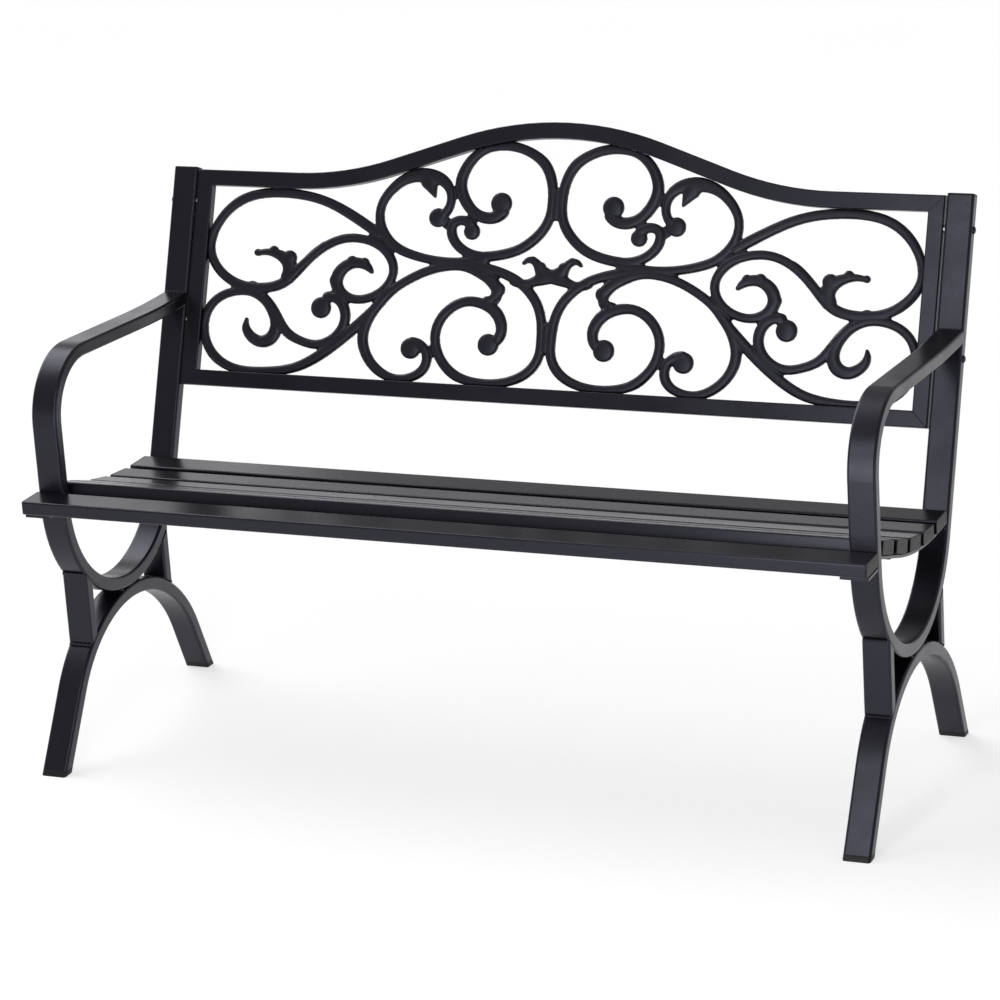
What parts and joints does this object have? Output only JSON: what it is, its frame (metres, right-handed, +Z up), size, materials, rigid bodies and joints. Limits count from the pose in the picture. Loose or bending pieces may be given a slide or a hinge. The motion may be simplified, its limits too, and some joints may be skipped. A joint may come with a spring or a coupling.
{
  "type": "garden bench",
  "caption": "Two-seat garden bench of bent steel tube with a slatted seat and a cast scroll panel in an arched back.",
  "frame": {"origin": "under the middle of the bench's bounding box, on the floor", "axes": "+X to the right seen from the front, across the bench; +Y to the back; +Z up"},
  "size_m": [1.276, 0.6247, 0.8598],
  "materials": {
    "frame_steel": "satin black powder coat",
    "slat_steel": "satin black powder coat, rubbed on top",
    "casting": "sand cast, powder coated black",
    "weld": "rippled weld bead under the coat",
    "plug_plastic": "moulded black polyethylene",
    "bolt_steel": "black oxide",
    "zinc_steel": "zinc plated"
  },
  "bodies": {
    "root": {"back_bolts": "bolt_steel", "back_rivet_nuts": "zinc_steel", "back_washers": "zinc_steel", "bottom_rail": "frame_steel", "front_slat": "slat_steel", "left_front_foot_cap": "plug_plastic", "left_front_strut": "frame_steel", "left_front_tab": "frame_steel", "left_leg_arch": "frame_steel", "left_post_cap": "plug_plastic", "left_rear_foot_cap": "plug_plastic", "left_rear_strut": "frame_steel", "left_seat_bar": "frame_steel", "left_side_loop": "frame_steel", "left_slat_caps": "plug_plastic", "left_stile": "frame_steel", "left_weld_beads": "weld", "right_front_foot_cap": "plug_plastic", "right_front_strut": "frame_steel", "right_front_tab": "frame_steel", "right_leg_arch": "frame_steel", "right_post_cap": "plug_plastic", "right_rear_foot_cap": "plug_plastic", "right_rear_strut": "frame_steel", "right_seat_bar": "frame_steel", "right_side_loop": "frame_steel", "right_slat_caps": "plug_plastic", "right_stile": "frame_steel", "right_weld_beads": "weld", "scroll_panel": "casting", "seat_bolts": "bolt_steel", "seat_rivet_nuts": "zinc_steel", "seat_slat_1": "slat_steel", "seat_slat_2": "slat_steel", "seat_slat_3": "slat_steel", "seat_slat_4": "slat_steel", "seat_slat_5": "slat_steel", "seat_washers": "zinc_steel", "top_rail": "frame_steel"}
  },
  "joints": []
}
